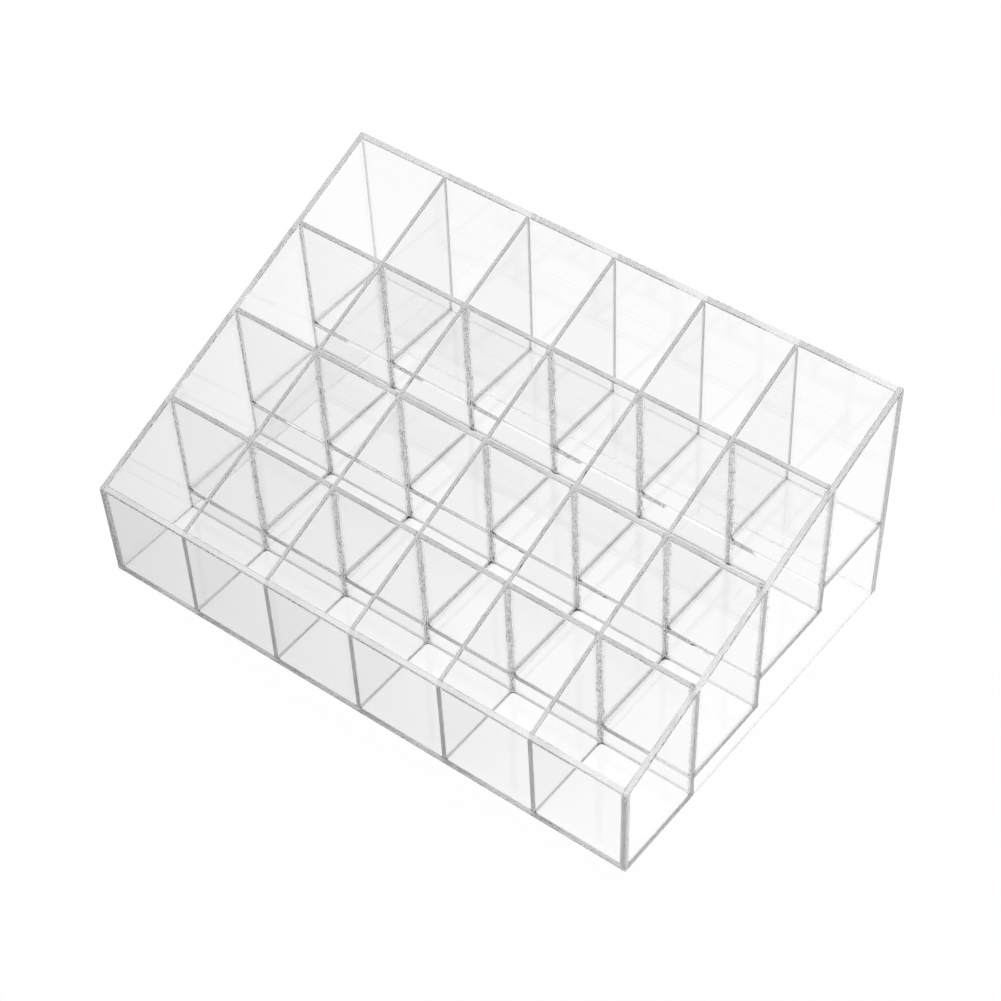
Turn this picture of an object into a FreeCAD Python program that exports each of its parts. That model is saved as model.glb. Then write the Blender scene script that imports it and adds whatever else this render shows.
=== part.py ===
# Clear acrylic vanity organizer: a stepped stand with four rows of six square compartments.
# It is cut from flat sheet and solvent-welded: two side panels, a front and a back panel, four
# floors that climb like stairs, three cross risers between the rows, and five column dividers
# that drop over the risers in halved slots. The walls lean outwards a little, as a tray's do.
# Millimetres: X runs along the front, Y from the front to the back, Z up, and the origin lies
# on the table under the middle of the stand.
import FreeCAD, Part
import os

import Sketcher

COLUMNS = 6
ROWS = 4
CUT_BEYOND = 5  # how far a trimming outline reaches past the sheet that it trims

SIZES = [
    ("cell_width", 22.6, "clear width of a compartment, at the height of the front rim"),
    ("cell_depth", 22.2, "clear depth of a compartment, at the height of the front rim"),
    ("front_height", 26.0, "height of the front panel"),
    ("back_height", 63.0, "height of the back panel"),
    ("side_sheet", 1.5, "thickness of the side panels"),
    ("face_sheet", 1.5, "thickness of the front and back panels"),
    ("riser_sheet", 1.2, "thickness of the cross risers"),
    ("divider_sheet", 1.0, "thickness of the column dividers"),
    ("floor_sheet", 1.2, "thickness of the floors"),
    ("first_step", 5.4, "rise from the first floor to the second"),
    ("second_step", 9.2, "rise from the second floor to the third"),
    ("third_step", 7.5, "rise from the third floor to the fourth"),
    ("side_lean", 1.5, "outward lean of the side panels, in degrees"),
    ("face_lean", 0.5, "outward lean of the front and back panels, in degrees"),
    ("bond_line", 0.05, "thickness of a cemented joint"),
    ("slot_clearance", 0.1, "play on each side of a sheet in its slot"),
]

doc = FreeCAD.newDocument("VanityOrganizer")
sheet = doc.addObject("Spreadsheet::Sheet", "Sizes")
for row, (alias, value, meaning) in enumerate(SIZES, start=1):
    sheet.set(f"A{row}", meaning)
    sheet.set(f"B{row}", str(value))
    sheet.setAlias(f"B{row}", alias)
doc.recompute()


# Places of the panels, as expressions on the sizes

SIDE_SLOPE = "tan(Sizes.side_lean * 1 deg)"
FACE_SLOPE = "tan(Sizes.face_lean * 1 deg)"
RIM_RISE = "(Sizes.back_height - Sizes.front_height)"
COLUMN_PITCH = "(Sizes.cell_width + Sizes.divider_sheet)"
ROW_PITCH = "(Sizes.cell_depth + Sizes.riser_sheet)"
INNER_WIDTH = f"({COLUMNS} * Sizes.cell_width + {COLUMNS - 1} * Sizes.divider_sheet)"
INNER_DEPTH = f"({ROWS} * Sizes.cell_depth + {ROWS - 1} * Sizes.riser_sheet)"
DEPTH = f"({INNER_DEPTH} + 2 * Sizes.face_sheet + {RIM_RISE} * {FACE_SLOPE})"

FLOOR_TOPS = ["Sizes.floor_sheet"]
for step in ("first_step", "second_step", "third_step"):
    FLOOR_TOPS.append(f"({FLOOR_TOPS[-1]} + Sizes.{step})")


def side_face(height):
    """Distance from the middle to the inner face of a side panel, at a height."""
    return f"({INNER_WIDTH} / 2 + ({height} - Sizes.front_height) * {SIDE_SLOPE})"


def front_face(height):
    """Y of the inner face of the front panel, at a height."""
    return f"(Sizes.face_sheet - {DEPTH} / 2 - ({height} - Sizes.front_height) * {FACE_SLOPE})"


def back_face(height):
    """Y of the inner face of the back panel, at a height."""
    return f"({DEPTH} / 2 - Sizes.face_sheet - (Sizes.back_height - {height}) * {FACE_SLOPE})"


def rim(depth):
    """Height of the sloping rim, a straight line from the front edge to the back edge, at a Y."""
    return f"(Sizes.front_height + {RIM_RISE} * ({depth} + {DEPTH} / 2) / {DEPTH})"


RISER_REARS = [f"({front_face('Sizes.front_height')} + {n} * {ROW_PITCH})" for n in range(1, ROWS)]
RISER_FRONTS = [f"({rear} - Sizes.riser_sheet)" for rear in RISER_REARS]
SLOT_MEETS = [f"(({floor} + {rim(front)}) / 2)" for floor, front in zip(FLOOR_TOPS, RISER_FRONTS)]


# Drawing and cutting a sheet

def new_sketch(body, purpose, plane_role):
    """An empty sketch on one of the body's own origin planes."""
    sketch = body.newObject("Sketcher::SketchObject", f"{body.Name}_{purpose}")
    plane = next(item for item in body.Origin.OriginFeatures if item.Role == plane_role)
    sketch.AttachmentSupport = [(plane, "")]
    sketch.MapMode = "FlatFace"
    return sketch


def draw_outline(sketch, corners):
    """One closed outline of straight edges, each corner tied to its pair of expressions."""
    first = sketch.GeometryCount
    count = len(corners)
    places = []
    for across, up in corners:
        places.append(FreeCAD.Vector(sketch.evalExpression(across), sketch.evalExpression(up), 0))
    for n in range(count):
        sketch.addGeometry(Part.LineSegment(places[n], places[(n + 1) % count]))
    for n in range(count):
        after = first + (n + 1) % count
        sketch.addConstraint(Sketcher.Constraint("Coincident", first + n, 2, after, 1))
    for n, (across, up) in enumerate(corners):
        for direction, expression, place in (
            ("DistanceX", across, places[n].x),
            ("DistanceY", up, places[n].y),
        ):
            rule = Sketcher.Constraint(direction, -1, 1, first + n, 1, place)
            sketch.setExpression(f"Constraints[{sketch.addConstraint(rule)}]", expression)


def new_panel(name, plane_role, section, length):
    """A body with one outline, padded to both sides of its plane."""
    body = doc.addObject("PartDesign::Body", name)
    body.Label = name
    sketch = new_sketch(body, "section", plane_role)
    draw_outline(sketch, section)
    pad = body.newObject("PartDesign::Pad", f"{name}_sheet")
    pad.Profile = sketch
    pad.SideType = "Symmetric"
    pad.setExpression("Length", length)
    doc.recompute()
    return body


def cut_through(body, purpose, plane_role, outlines):
    """Cuts outlines right through the body and makes sure that they took something away."""
    before = body.Shape.Volume
    sketch = new_sketch(body, purpose, plane_role)
    for corners in outlines:
        draw_outline(sketch, corners)
    pocket = body.newObject("PartDesign::Pocket", f"{body.Name}_{purpose}_cut")
    pocket.Profile = sketch
    pocket.Type = "ThroughAll"
    pocket.SideType = "Symmetric"
    doc.recompute()
    if not body.Shape.Volume < before:
        raise RuntimeError(f"{pocket.Name} cuts nothing")
    return pocket


# Side panels: one sloping top edge, ends flush with the faces of the front and back panels

def side_panel(name, side):
    """A leaning side panel; side is -1 on the left and 1 on the right."""
    section = []
    for height, layers in (("0", (0, 1)), ("Sizes.back_height", (1, 0))):
        for layer in layers:
            section.append((f"{side} * ({side_face(height)} + {layer} * Sizes.side_sheet)", height))
    body = new_panel(name, "XZ_Plane", section, DEPTH)
    front_foot = f"{front_face('0')} - Sizes.face_sheet"
    back_foot = f"{back_face('0')} + Sizes.face_sheet"
    beyond_front = f"-{DEPTH} / 2 - {CUT_BEYOND}"
    beyond_back = f"{DEPTH} / 2 + {CUT_BEYOND}"
    beyond_top = f"Sizes.back_height + {CUT_BEYOND}"
    offcut = [
        (front_foot, "0"),
        (f"-{DEPTH} / 2", "Sizes.front_height"),
        (f"{DEPTH} / 2", "Sizes.back_height"),
        (back_foot, "0"),
        (beyond_back, "0"),
        (beyond_back, beyond_top),
        (beyond_front, beyond_top),
        (beyond_front, "0"),
    ]
    cut_through(body, "offcut", "YZ_Plane", [offcut])
    return body


# Cross panels: front, back, risers and floors, which all fit between the leaning side panels

def cross_panel(name, section, lowest, highest):
    """A sheet across the stand, with both ends cut to the lean of the side panels."""
    reach = f"({side_face(highest)} - Sizes.bond_line)"
    body = new_panel(name, "YZ_Plane", section, f"2 * {reach} + {CUT_BEYOND}")
    ends = []
    for side in (-1, 1):
        ends.append([
            (f"{side} * ({side_face(lowest)} - Sizes.bond_line)", lowest),
            (f"{side} * {reach}", highest),
            (f"{side} * ({reach} + {CUT_BEYOND})", highest),
            (f"{side} * ({reach} + {CUT_BEYOND})", lowest),
        ])
    cut_through(body, "ends", "XZ_Plane", ends)
    return body


def front_panel():
    """The low front panel, planed to the slope of the rim along its top."""
    top = rim(front_face("Sizes.front_height"))
    section = [
        (f"{front_face('0')} - Sizes.face_sheet", "0"),
        (front_face("0"), "0"),
        (front_face(top), top),
        (f"-{DEPTH} / 2", "Sizes.front_height"),
    ]
    return cross_panel("front_panel", section, "0", top)


def back_panel():
    """The tall back panel, planed to the slope of the rim along its top."""
    top = rim(back_face("Sizes.back_height"))
    section = [
        (back_face("0"), "0"),
        (f"{back_face('0')} + Sizes.face_sheet", "0"),
        (f"{DEPTH} / 2", "Sizes.back_height"),
        (back_face(top), top),
    ]
    return cross_panel("back_panel", section, "0", "Sizes.back_height")


def floor_panel(number):
    """A floor: its front edge meets the riser in front, and its rear edge carries the next one."""
    top = FLOOR_TOPS[number]
    underside = f"({top} - Sizes.floor_sheet)"
    front = front_face(underside) if number == 0 else RISER_REARS[number - 1]
    if number < ROWS - 1:
        rear = RISER_REARS[number]
    else:
        rear = f"{back_face(underside)} - Sizes.bond_line"
    section = [
        (f"{front} + Sizes.bond_line", underside),
        (rear, underside),
        (rear, top),
        (f"{front} + Sizes.bond_line", top),
    ]
    return cross_panel(f"floor_row_{number + 1}", section, underside, top)


def riser_panel(number):
    """A cross riser: it stands on a floor's rear edge, with a slot from above for each divider."""
    front, rear, meet = RISER_FRONTS[number], RISER_REARS[number], SLOT_MEETS[number]
    foot = f"({FLOOR_TOPS[number]} + Sizes.bond_line)"
    section = [(front, foot), (rear, foot), (rear, rim(rear)), (front, rim(front))]
    body = cross_panel(f"cross_riser_{number + 1}", section, foot, rim(rear))
    slots_span = f"{COLUMNS - 2} * {COLUMN_PITCH}"
    half_slot = "(Sizes.divider_sheet / 2 + Sizes.slot_clearance)"
    beyond_top = f"{rim(rear)} + {CUT_BEYOND}"
    first_slot = [
        (f"-{slots_span} / 2 - {half_slot}", meet),
        (f"-{slots_span} / 2 + {half_slot}", meet),
        (f"-{slots_span} / 2 + {half_slot}", beyond_top),
        (f"-{slots_span} / 2 - {half_slot}", beyond_top),
    ]
    slot = cut_through(body, "slot", "XZ_Plane", [first_slot])
    slots = body.newObject("PartDesign::LinearPattern", f"{body.Name}_slots")
    slots.Originals = [slot]
    slots.Direction = (slot.Profile[0], ["H_Axis"])
    slots.Occurrences = COLUMNS - 1
    slots.setExpression("Length", slots_span)
    body.Tip = slots
    doc.recompute()
    return body


# Column dividers: they follow the floors below and the rim above

def column_divider(number):
    """A divider: stepped along the floors, with a slot from below over each riser."""
    foot = f"({FLOOR_TOPS[0]} + Sizes.bond_line)"
    outline = [(f"{front_face(foot)} + Sizes.bond_line", foot)]
    for front, rear, meet, next_floor in zip(RISER_FRONTS, RISER_REARS, SLOT_MEETS, FLOOR_TOPS[1:]):
        slot_front = f"{front} - Sizes.slot_clearance"
        slot_rear = f"{rear} + Sizes.slot_clearance"
        slot_top = f"{meet} + Sizes.bond_line"
        outline += [(slot_front, foot), (slot_front, slot_top), (slot_rear, slot_top)]
        foot = f"({next_floor} + Sizes.bond_line)"
        outline.append((slot_rear, foot))
    outline.append((f"{back_face(foot)} - Sizes.bond_line", foot))
    rear_top = rim(back_face("Sizes.back_height"))
    outline.append((f"{back_face(rear_top)} - Sizes.bond_line", rear_top))
    front_top = rim(front_face("Sizes.front_height"))
    outline.append((f"{front_face(front_top)} + Sizes.bond_line", front_top))
    body = new_panel(f"column_divider_{number + 1}", "YZ_Plane", outline, "Sizes.divider_sheet")
    body.setExpression("Placement.Base.x", f"({number} - {COLUMNS - 2} / 2) * {COLUMN_PITCH}")
    return body


panels = [side_panel("side_panel_left", -1), side_panel("side_panel_right", 1)]
panels += [front_panel(), back_panel()]
panels += [floor_panel(number) for number in range(ROWS)]
panels += [riser_panel(number) for number in range(ROWS - 1)]
panels += [column_divider(number) for number in range(COLUMNS - 1)]
doc.recompute()

for item in doc.Objects:
    if "Invalid" in item.State or "Error" in item.State:
        raise RuntimeError(f"{item.Label} did not build: {item.State}")
for panel in panels:
    if panel.Shape.isNull() or not panel.Shape.isValid() or len(panel.Shape.Solids) != 1:
        raise RuntimeError(f"{panel.Label} is not one sound solid")

os.makedirs("parts", exist_ok=True)
for panel in panels:
    panel.Shape.exportStep(f"parts/{panel.Label}.step")
    box = panel.Shape.BoundBox
    print(f"{panel.Label}: {box.XLength:.2f} x {box.YLength:.2f} x {box.ZLength:.2f} mm")
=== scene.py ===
import math
import random

import bmesh
import bpy
from mathutils import Matrix, Vector


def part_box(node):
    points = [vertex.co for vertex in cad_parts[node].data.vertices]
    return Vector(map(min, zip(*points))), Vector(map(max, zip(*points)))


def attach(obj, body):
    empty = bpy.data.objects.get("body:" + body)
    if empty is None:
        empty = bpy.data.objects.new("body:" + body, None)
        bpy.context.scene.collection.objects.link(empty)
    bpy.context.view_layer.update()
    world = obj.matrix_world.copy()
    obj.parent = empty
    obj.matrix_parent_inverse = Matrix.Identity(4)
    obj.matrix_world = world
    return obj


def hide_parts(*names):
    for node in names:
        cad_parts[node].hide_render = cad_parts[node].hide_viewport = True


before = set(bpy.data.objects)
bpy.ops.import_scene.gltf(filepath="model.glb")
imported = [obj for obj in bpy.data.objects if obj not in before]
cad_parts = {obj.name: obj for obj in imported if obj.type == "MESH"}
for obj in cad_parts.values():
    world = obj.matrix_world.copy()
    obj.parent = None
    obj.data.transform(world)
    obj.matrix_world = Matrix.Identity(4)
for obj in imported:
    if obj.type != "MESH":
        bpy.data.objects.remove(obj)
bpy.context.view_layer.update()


# Side panels
# Two clear acrylic trapezoids, sawn from 1.5 mm sheet. They stand outside everything else, lean out
# a little, and have matte sawn edges that are eased along their corners.

MM = 0.001
ACRYLIC_IOR = 1.49
POLISHED = 0.012            # roughness of a sheet's face where its haze is thickest
SAWN = 0.8                  # the same on a sawn edge
HAZE_SCALE = 90
RIPPLE_SCALE = 1500
EDGE_ROUND = 0.25 * MM      # radius that easing leaves on a free edge
EDGE_SEGMENTS = 3
WELD_DEPTH = 0.2 * MM       # how far a softened edge sinks into the sheet that it is welded to
SAME_POINT = 0.001 * MM
FLATNESS = math.radians(0.2)
FACING = 0.5                # a face looks along an axis if its normal has more than this of it


class Wire:
    """A shader value. Operators on it add Math nodes, and node() adds any other node."""

    def __init__(self, tree, socket=None):
        self.tree = tree
        self.socket = socket

    def node(self, kind, settings=None, inputs=None, output=0):
        made = self.tree.nodes.new(kind)
        for name, value in (settings or {}).items():
            setattr(made, name, value)
        for name, value in (inputs or {}).items():
            if isinstance(value, Wire):
                self.tree.links.new(value.socket, made.inputs[name])
            else:
                made.inputs[name].default_value = value
        return Wire(self.tree, made.outputs[output] if made.outputs else None)

    def maths(self, operation, left, right):
        return self.node("ShaderNodeMath", {"operation": operation}, {0: left, 1: right})

    def __add__(self, other):
        return self.maths("ADD", self, other)

    def __mul__(self, other):
        return self.maths("MULTIPLY", self, other)

    def __rsub__(self, other):
        return self.maths("SUBTRACT", other, self)

    __radd__ = __add__
    __rmul__ = __mul__


def clear_acrylic(name, tint_and_shade, matte=POLISHED, ripple=0, clear=1):
    """Clear acrylic with a trace of handling haze, or as matte as a sawn edge, or rippled as a weld."""
    material = bpy.data.materials.new(name)
    material.use_nodes = True
    shade = Wire(material.node_tree)
    surface = material.node_tree.nodes["Principled BSDF"]
    # The base colour is the sheet's faint tint, and painted shade where it is set darker than that.
    surface.inputs["Base Color"].default_value = (tint_and_shade, tint_and_shade, tint_and_shade, 1)
    surface.inputs["Transmission Weight"].default_value = clear
    surface.inputs["IOR"].default_value = ACRYLIC_IOR
    place = shade.node("ShaderNodeTexCoord", output="Object")
    haze = shade.node("ShaderNodeTexNoise", {}, {"Vector": place, "Scale": HAZE_SCALE, "Detail": 3})
    roughness = matte * haze
    material.node_tree.links.new(roughness.socket, surface.inputs["Roughness"])
    if ripple:
        ripples = shade.node("ShaderNodeTexNoise", {}, {"Vector": place, "Scale": RIPPLE_SCALE, "Detail": 2})
        relief = shade.node("ShaderNodeBump", {}, {"Height": ripples, "Strength": 1, "Distance": ripple})
        material.node_tree.links.new(relief.socket, surface.inputs["Normal"])
    return material


def main_axis(normal):
    """The world axis that a face mostly faces, as a direction."""
    axis = max(range(3), key=lambda n: abs(normal[n]))
    return tuple(math.copysign(1, normal[n]) if n == axis else 0 for n in range(3))


def nowhere(face):
    """For a sheet that has no face of a kind."""
    return False


def facing_up(face):
    """Whether a face is part of the rim."""
    return face.normal.z > FACING


def sheet_piece(node_name, material, rim_edge, welded=nowhere, wetted=nowhere, rimmed=facing_up):
    """The CAD node's sheet, with its welded edges sunk in and its free edges eased.

    Its narrow faces are sawn matte, in the rim's grey where they are rimmed, which on the darker rims is
    painted shade, and elsewhere in a dark grey that is painted shade. The wetted ones are clear, because
    cement has filled their saw marks.
    """
    shape = bmesh.new()
    shape.from_mesh(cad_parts[node_name].data)
    bmesh.ops.remove_doubles(shape, verts=shape.verts, dist=SAME_POINT)
    bmesh.ops.dissolve_limit(shape, angle_limit=FLATNESS, verts=shape.verts, edges=shape.edges)
    bmesh.ops.recalc_face_normals(shape, faces=shape.faces)
    welded_faces = [face for face in shape.faces if welded(face)]
    broad_area = max(face.calc_area() for face in shape.faces) / 2
    for face in shape.faces:
        if face.calc_area() < broad_area and not wetted(face):
            face.material_index = 1 if rimmed(face) else 2
    free_edges = []
    for edge in shape.edges:
        if not any(face in welded_faces for face in edge.link_faces) and edge.is_convex:
            free_edges.append(edge)
    sunk = {}
    for face in welded_faces:
        for corner in face.verts:
            sunk.setdefault(corner, set()).add(main_axis(face.normal))
    for corner, directions in sunk.items():
        for direction in directions:
            corner.co += Vector(direction) * WELD_DEPTH
    bmesh.ops.bevel(
        shape, geom=free_edges, offset=EDGE_ROUND, segments=EDGE_SEGMENTS, profile=0.5, affect="EDGES",
        material=0,
    )
    mesh = bpy.data.meshes.new(node_name + "_sheet")
    shape.to_mesh(mesh)
    shape.free()
    for finish in (material, rim_edge, shaded_edge):
        mesh.materials.append(finish)
    piece = bpy.data.objects.new(node_name + "_sheet", mesh)
    bpy.context.collection.objects.link(piece)
    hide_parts(node_name)
    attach(piece, "root")


wall_acrylic = clear_acrylic("wall_acrylic", tint_and_shade=0.99)
wall_rim = clear_acrylic("wall_rim", tint_and_shade=1.0, matte=SAWN, clear=0.72)
# Painted shade: this rim's 0.82 grey stands for the shade on the left panel's rim and on the tops of the
# risers and dividers.
shaded_rim = clear_acrylic("shaded_rim", tint_and_shade=0.82, matte=SAWN, clear=0.8)
# Painted shade: this sawn edge's dark grey stands for the contact shadow along bottom edges and the dark
# lines at joints.
shaded_edge = clear_acrylic("shaded_edge", tint_and_shade=0.6, matte=SAWN)
# The left panel's rim gets the grey of painted shade, and the right one's stays pale.
sheet_piece("side_panel_left", wall_acrylic, shaded_rim)
sheet_piece("side_panel_right", wall_acrylic, wall_rim)


# Front and back panels
# The low front and the tall back, cut from the same sheet as the sides and welded between them.
# Their ends melt into the side panels, and their tops are planed to the slope of the rim.

front_rim = clear_acrylic("front_rim", tint_and_shade=1.0, matte=SAWN, clear=0.55)


def at_end(face):
    """Whether a face is the left or the right end of a panel."""
    return abs(face.normal.x) > FACING


sheet_piece(
    "front_panel", wall_acrylic, front_rim, welded=at_end,
    rimmed=lambda face: facing_up(face) or face.normal.x > FACING,
)
sheet_piece(
    "back_panel", wall_acrylic, wall_rim, welded=at_end,
    wetted=lambda face: face.normal.x < -FACING,
)


# Floors
# Four strips of thinner clear sheet that climb like stairs. Each is welded to both sides, to the
# riser or panel in front of it, and to the one behind it.

ROWS = 4
FILLED_FROM = 3             # from this row on, cement fills a floor's front edge too

floor_acrylic = clear_acrylic("floor_acrylic", tint_and_shade=1.0)
for row in range(1, ROWS + 1):
    sheet_piece(
        f"floor_row_{row}", floor_acrylic, wall_rim,
        welded=lambda face: abs(face.normal.z) < FACING,
        wetted=lambda face: face.normal.y > FACING or (row >= FILLED_FROM and face.normal.y < -FACING),
    )


# Cross risers
# Three upright strips of clear sheet that stand on the rear edges of the floors and part the rows.
# Each has five slots from above, where the column dividers drop in.

NEAR_END = 1 * MM           # a face this close to a sheet's end is part of it

# Painted shade, in part: the risers' grey is darker than the sheet's own faint tint.
riser_acrylic = clear_acrylic("riser_acrylic", tint_and_shade=0.945)
for number in range(1, ROWS):
    node_name = f"cross_riser_{number}"
    half_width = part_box(node_name)[1][0]
    sheet_piece(
        node_name, riser_acrylic, shaded_rim,
        welded=lambda face: face.normal.z < -FACING
        or abs(face.calc_center_median().x) > half_width - NEAR_END,
    )


# Column dividers
# Five stepped sheets of clear acrylic from front to back. They drop over the risers in halved slots,
# stand on the floors and are welded wherever they touch.

COLUMNS = 6

# Painted shade, in part: the dividers' grey is darker than the sheet's own faint tint.
divider_acrylic = clear_acrylic("divider_acrylic", tint_and_shade=0.935)
for number in range(1, COLUMNS):
    node_name = f"column_divider_{number}"
    front_end, rear_end = (corner[1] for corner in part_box(node_name))
    sheet_piece(
        node_name, divider_acrylic, shaded_rim,
        welded=lambda face: face.normal.z < -FACING
        or face.calc_center_median().y < front_end + NEAR_END
        or face.calc_center_median().y > rear_end - NEAR_END,
    )


# Welds
# Clear beads of solvent cement in the inner corners, drawn into hollow fillets by capillary action.
# The beads along the feet are greyed with painted shade. The wider ones on the uprights hold specks of
# blush, and specks of air whose grey is painted shade.

BEAD_SINK = 0.12 * MM       # how far a bead reaches into the sheets that it joins
BEAD_ARC = 5
BEAD_STEPS = 12
BEAD_CROWDING = 1.6         # crowds a bead's steps towards its start
BEAD_UNEVEN = 0.15
BEAD_END = 0.6 * MM         # how far below the rim an upright bead stops
FOOT_BEADS = (0.3 * MM, 1.1 * MM, 1.0 * MM, 1.0 * MM)       # along a compartment's two sides, row by row
FOOT_TAPER = 12 * MM        # a foot bead narrows over about this length to half its width
FRONT_BEADS = (0.15 * MM, 0.2 * MM, 0.15 * MM, 0.12 * MM)   # along a floor's front edge, row by row
FRONT_RUNS = (0, 0, 0.25 * MM, 0.25 * MM)   # extra width at the left end, where the cement was put in
FRONT_RUN_LENGTH = 4 * MM
BACK_BEAD = 0.03 * MM       # along the back of the last floor, run in from the right
BACK_RUN = 1.0 * MM
BACK_RUN_LENGTH = 9 * MM
UPRIGHT_BEAD = 1.2 * MM     # on the right of a divider, where it meets the riser behind it
CORNER_BEADS = (0.4 * MM, 0.9 * MM)         # where a riser meets the left and the right side panel
THIN_BEAD = 0.15 * MM       # in the other corners
FOOT_RIPPLE = 0.1 * MM
UPRIGHT_RIPPLE = 0.02 * MM
SPECK_SCALE = 2600
SPECK_DRAWN = (1, 1, 0.4)   # specks are longer along the upright
SPECK_START, SPECK_FULL = 0.58, 0.66
SPECK_SHARE = 0.5           # how much of the clear bead a speck hides
SPECK_ROUGHNESS = 0.5
BLUSH_SCALE = 700
BLUSH_START, BLUSH_FULL = 0.38, 0.42
# Painted shade: the air specks' dark grey stands for the darkness of bubbles seen in clear cement.
AIR_SHADE_GREY = (0.25, 0.25, 0.25, 1)
BLUSH_WHITE = (1, 1, 1, 1)
UP = Vector((0, 0, 1))
RIGHT = Vector((1, 0, 0))
REAR = Vector((0, 1, 0))

chance = random.Random(7)
# Painted shade: the foot beads' 0.9 grey darkens the lines along the compartments' inner corners.
foot_weld = clear_acrylic("foot_weld", tint_and_shade=0.9, ripple=FOOT_RIPPLE)
upright_weld = clear_acrylic("upright_weld", tint_and_shade=1.0, ripple=UPRIGHT_RIPPLE)
cement = Wire(upright_weld.node_tree)
on_bead = cement.node("ShaderNodeTexCoord", output="Object")
drawn = cement.node("ShaderNodeVectorMath", {"operation": "MULTIPLY"}, {0: on_bead, 1: SPECK_DRAWN})
air = cement.node("ShaderNodeTexNoise", {}, {"Vector": drawn, "Scale": SPECK_SCALE, "Detail": 1})
speck = cement.node(
    "ShaderNodeMapRange", {},
    {"Value": air, "From Min": SPECK_START, "From Max": SPECK_FULL, "To Max": SPECK_SHARE},
)
blush = cement.node("ShaderNodeTexNoise", {}, {"Vector": on_bead, "Scale": BLUSH_SCALE, "Detail": 0})
pale = cement.node(
    "ShaderNodeMapRange", {}, {"Value": blush, "From Min": BLUSH_START, "From Max": BLUSH_FULL}
)
# Inputs 6 and 7 of a Mix node are its two colours, and output 2 is the mixed one.
speck_colour = cement.node(
    "ShaderNodeMix", {"data_type": "RGBA"}, {0: pale, 6: AIR_SHADE_GREY, 7: BLUSH_WHITE}, output=2
)
frosted = cement.node(
    "ShaderNodeBsdfPrincipled", {}, {"Base Color": speck_colour, "Roughness": SPECK_ROUGHNESS}
)
unmarked = Wire(cement.tree, cement.tree.nodes["Principled BSDF"].outputs[0])
specked = cement.node("ShaderNodeMixShader", {}, {0: speck, 1: unmarked, 2: frosted})
cement.tree.links.new(specked.socket, cement.tree.nodes["Material Output"].inputs["Surface"])


def weld_bead(shape, start, end, first, second, radius, pool=0, pool_length=MM):
    """A hollow fillet between two sheets that face along first and second, with a pool at its start."""
    length = (end - start).length
    rings = []
    for step in range(BEAD_STEPS + 1):
        share = (step / BEAD_STEPS) ** BEAD_CROWDING
        wide = radius * chance.uniform(1 - BEAD_UNEVEN, 1 + BEAD_UNEVEN)
        wide += pool * math.exp(-share * length / pool_length)
        profile = [(-BEAD_SINK, -BEAD_SINK), (wide, -BEAD_SINK)]
        for part in range(BEAD_ARC + 1):
            angle = math.pi / 2 * part / BEAD_ARC
            profile.append((wide * (1 - math.sin(angle)), wide * (1 - math.cos(angle))))
        profile.append((-BEAD_SINK, wide))
        place = start.lerp(end, share)
        rings.append([shape.verts.new(place + first * a + second * b) for a, b in profile])
    faces = [shape.faces.new(rings[0]), shape.faces.new(rings[-1])]
    for before, after in zip(rings, rings[1:]):
        for n in range(len(before)):
            following = (n + 1) % len(before)
            faces.append(shape.faces.new((before[n], before[following], after[following], after[n])))
    bmesh.ops.recalc_face_normals(shape, faces=faces)


def leaning(lower, upper):
    """The place of a wall at any height, from two pairs of height and place."""
    slope = (upper[1] - lower[1]) / (upper[0] - lower[0])
    return lambda height: lower[1] + slope * (height - lower[0])


def standing(place):
    """A wall that stands upright at one place."""
    return lambda height: place


def weld_piece(name, shape, material):
    """Makes a shape into an object that rides with the stand."""
    mesh = bpy.data.meshes.new(name)
    shape.to_mesh(mesh)
    shape.free()
    mesh.materials.append(material)
    piece = bpy.data.objects.new(name, mesh)
    bpy.context.collection.objects.link(piece)
    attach(piece, "root")


floor_boxes = [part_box(f"floor_row_{row}") for row in range(1, ROWS + 1)]
riser_boxes = [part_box(f"cross_riser_{number}") for number in range(1, ROWS)]
divider_boxes = [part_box(f"column_divider_{number}") for number in range(1, COLUMNS)]
floor_tops = [high[2] for low, high in floor_boxes]
rim = leaning(riser_boxes[0][1][1:], riser_boxes[-1][1][1:])
side_wall = leaning((floor_tops[0], floor_boxes[0][1][0]), (floor_tops[-1], floor_boxes[-1][1][0]))
front_wall = leaning((0, floor_boxes[0][0][1]), (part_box("front_panel")[1][2], divider_boxes[0][0][1]))
back_wall = leaning((floor_tops[-1], floor_boxes[-1][1][1]), (divider_boxes[0][1][2], divider_boxes[0][1][1]))
left_walls = [lambda height: -side_wall(height)] + [standing(high[0]) for low, high in divider_boxes]
right_walls = [standing(low[0]) for low, high in divider_boxes] + [side_wall]
front_walls = [front_wall] + [standing(high[1]) for low, high in riser_boxes]
rear_walls = [standing(low[1]) for low, high in riser_boxes] + [back_wall]

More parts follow.
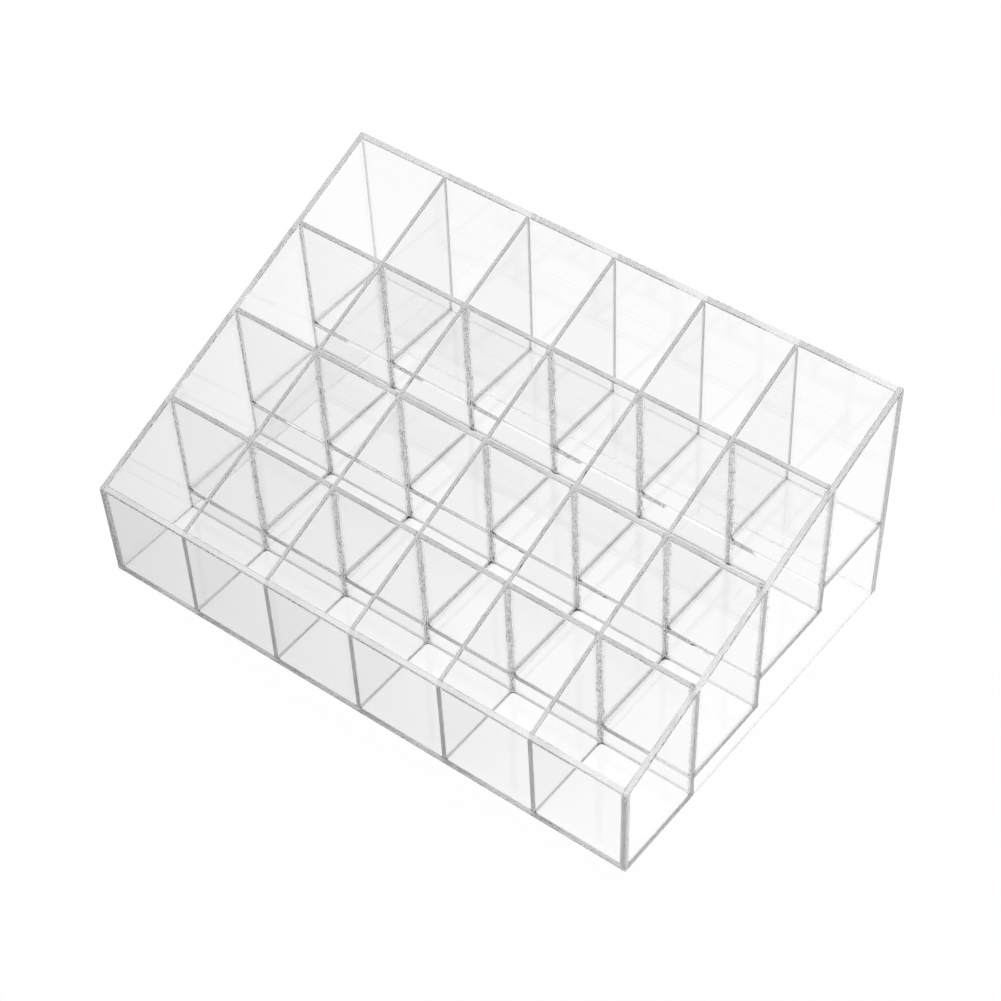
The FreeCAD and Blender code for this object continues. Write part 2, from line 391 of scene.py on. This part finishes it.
for row in range(ROWS):
    feet = bmesh.new()
    uprights = bmesh.new()
    height = floor_tops[row]
    first_row, last_row = row == 0, row == ROWS - 1
    for column in range(COLUMNS):
        first_column, last_column = column == 0, column == COLUMNS - 1
        left, right = left_walls[column], right_walls[column]
        front, rear = front_walls[row], rear_walls[row]
        corners = {
            (x_wall, y_wall): Vector((x_wall(height), y_wall(height), height))
            for x_wall in (left, right) for y_wall in (front, rear)
        }
        half_bead = FOOT_BEADS[row] / 2
        for x_wall, inward in ((left, RIGHT), (right, -RIGHT)):
            weld_bead(
                feet, corners[x_wall, front], corners[x_wall, rear], inward, UP,
                half_bead, half_bead, FOOT_TAPER,
            )
        weld_bead(
            feet, corners[left, front], corners[right, front], REAR, UP,
            FRONT_BEADS[row], FRONT_RUNS[row], FRONT_RUN_LENGTH,
        )
        if not last_row:
            weld_bead(feet, corners[left, rear], corners[right, rear], -REAR, UP, THIN_BEAD)
        elif last_column:
            weld_bead(
                feet, corners[right, rear], corners[left, rear], -REAR, UP,
                BACK_BEAD, BACK_RUN, BACK_RUN_LENGTH,
            )
        for x_wall, inward, at_side, corner_bead in (
            (left, RIGHT, first_column, CORNER_BEADS[0]), (right, -RIGHT, last_column, CORNER_BEADS[1]),
        ):
            for y_wall, onward, at_panel in ((front, REAR, first_row), (rear, -REAR, last_row)):
                top_height = rim(y_wall(height)) - BEAD_END
                foot, top = (
                    Vector((x_wall(z), y_wall(z), z)) for z in (height - BEAD_SINK, top_height)
                )
                if at_side and not at_panel:
                    weld_bead(uprights, foot, top, inward, onward, corner_bead)
                elif not at_panel and x_wall is left and y_wall is rear:
                    weld_bead(uprights, foot, top, inward, onward, UPRIGHT_BEAD)
                else:
                    weld_bead(feet, foot, top, inward, onward, THIN_BEAD)
    weld_piece(f"foot_welds_row_{row + 1}", feet, foot_weld)
    weld_piece(f"upright_welds_row_{row + 1}", uprights, upright_weld)


# Table and light
# A plain white table that keeps the stand's soft shadow. Seen through or mirrored in the acrylic, its
# glow is painted dimmer towards the near left, as painted shade. A white dome lights the stand, brighter
# overhead on the right and behind on the left.

TABLE_SIZE = 6.0
TABLE_DROP = 0.02 * MM      # keeps the table clear of the stand's underside
TABLE_GREY = (0.8, 0.8, 0.8, 1)
TABLE_GLOW = 0.95           # how much of the plain white shows over the shadow
BRIGHT_SIDE = (0.6, 0.8, 0)
DOME, KEY, BACKDROP = 0.6, 1.5, 0.6
WHITE = (1, 1, 1, 1)
BOUNCES = 160

table_mesh = bpy.data.meshes.new("table")
half = TABLE_SIZE / 2
table_mesh.from_pydata(
    [(x, y, -TABLE_DROP) for x, y in ((-half, -half), (half, -half), (half, half), (-half, half))],
    [], [(0, 1, 2, 3)],
)
table = bpy.data.objects.new("table", table_mesh)
bpy.context.collection.objects.link(table)
table_white = bpy.data.materials.new("table_white")
table_white.use_nodes = True
table_white.node_tree.nodes.clear()
shade = Wire(table_white.node_tree)
shadowed = shade.node("ShaderNodeBsdfDiffuse", {}, {"Color": TABLE_GREY})
direct = shade.node("ShaderNodeLightPath", output="Is Camera Ray")
through = shade.node("ShaderNodeLightPath", output="Is Transmission Ray")
mirrored = shade.node("ShaderNodeLightPath", output="Is Glossy Ray") * (1 - through)
spot = shade.node("ShaderNodeNewGeometry", output="Position")
along = shade.node(
    "ShaderNodeVectorMath", {"operation": "DOT_PRODUCT"}, {0: spot, 1: BRIGHT_SIDE}, output="Value"
)


def table_level(dim, start, end):
    """The table's brightness, which rises from dim to 1 between two places towards its bright side."""
    return shade.node(
        "ShaderNodeMapRange", {}, {"Value": along, "From Min": start, "From Max": end, "To Min": dim}
    )


# Painted shade: the glow seen through or mirrored in the acrylic is dimmed towards the near left.
seen_through = table_level(dim=0.74, start=-105 * MM, end=-5 * MM)
seen_mirrored = table_level(dim=0.05, start=-30 * MM, end=15 * MM)
brightness = direct + through * seen_through + mirrored * seen_mirrored
glow = shade.node("ShaderNodeEmission", {}, {"Color": brightness, "Strength": 1})
glow_share = TABLE_GLOW * direct + through + mirrored
mixed = shade.node("ShaderNodeMixShader", {}, {0: glow_share, 1: shadowed, 2: glow})
shade.node("ShaderNodeOutputMaterial", {}, {"Surface": mixed})
table_mesh.materials.append(table_white)

scene = bpy.context.scene
world = bpy.data.worlds.new("studio")
scene.world = world
world.use_nodes = True
world.node_tree.nodes.clear()
sky = Wire(world.node_tree)
toward = sky.node("ShaderNodeTexCoord", output="Generated")


def soft_patch(azimuth, elevation, core, edge):
    """A round patch of the sky, 1 inside its core and 0 beyond its edge, with angles in degrees."""
    azimuth, elevation = math.radians(azimuth), math.radians(elevation)
    middle = (
        math.sin(azimuth) * math.cos(elevation),
        math.cos(azimuth) * math.cos(elevation),
        math.sin(elevation),
    )
    facing = sky.node(
        "ShaderNodeVectorMath", {"operation": "DOT_PRODUCT"}, {0: toward, 1: middle}, output="Value"
    )
    return sky.node(
        "ShaderNodeMapRange", {"interpolation_type": "SMOOTHSTEP"},
        {
            "Value": facing,
            "From Min": math.cos(math.radians(edge)),
            "From Max": math.cos(math.radians(core)),
        },
    )


key = soft_patch(azimuth=60, elevation=76, core=20, edge=42)
backdrop = soft_patch(azimuth=-40, elevation=46, core=16, edge=34)
strength = DOME + KEY * key + BACKDROP * backdrop
background = sky.node("ShaderNodeBackground", {}, {"Color": WHITE, "Strength": strength})
sky.node("ShaderNodeOutputWorld", {}, {"Surface": background})

scene.view_settings.view_transform = "Standard"
scene.cycles.max_bounces = BOUNCES
scene.cycles.transmission_bounces = BOUNCES
scene.cycles.glossy_bounces = BOUNCES
scene.cycles.blur_glossy = 0


# Camera
# It looks down on the stand from the front right, with a long lens. Its place, aim, roll and lens
# were fitted to the stand's corners in the photograph.

AIM = Vector((1.799, 1.742, 25.174)) * MM
DISTANCE = 575.279 * MM
AZIMUTH = math.radians(39.886)
ELEVATION = math.radians(46.438)
ROLL = math.radians(-2.908)
LENS = 94.777
SENSOR_WIDTH = 36
CLIP_START = 0.01

forward = Vector((
    -math.sin(AZIMUTH) * math.cos(ELEVATION),
    math.cos(AZIMUTH) * math.cos(ELEVATION),
    -math.sin(ELEVATION),
))
level = forward.cross(UP).normalized()
upright = level.cross(forward)
picture_right = level * math.cos(ROLL) + upright * math.sin(ROLL)
picture_up = picture_right.cross(forward)
camera_data = bpy.data.cameras.new("camera")
camera_data.lens = LENS
camera_data.sensor_width = SENSOR_WIDTH
camera_data.clip_start = CLIP_START
camera = bpy.data.objects.new("camera", camera_data)
turn = Matrix((picture_right, picture_up, -forward)).transposed()
camera.matrix_world = Matrix.Translation(AIM - forward * DISTANCE) @ turn.to_4x4()
bpy.context.collection.objects.link(camera)
scene.camera = camera
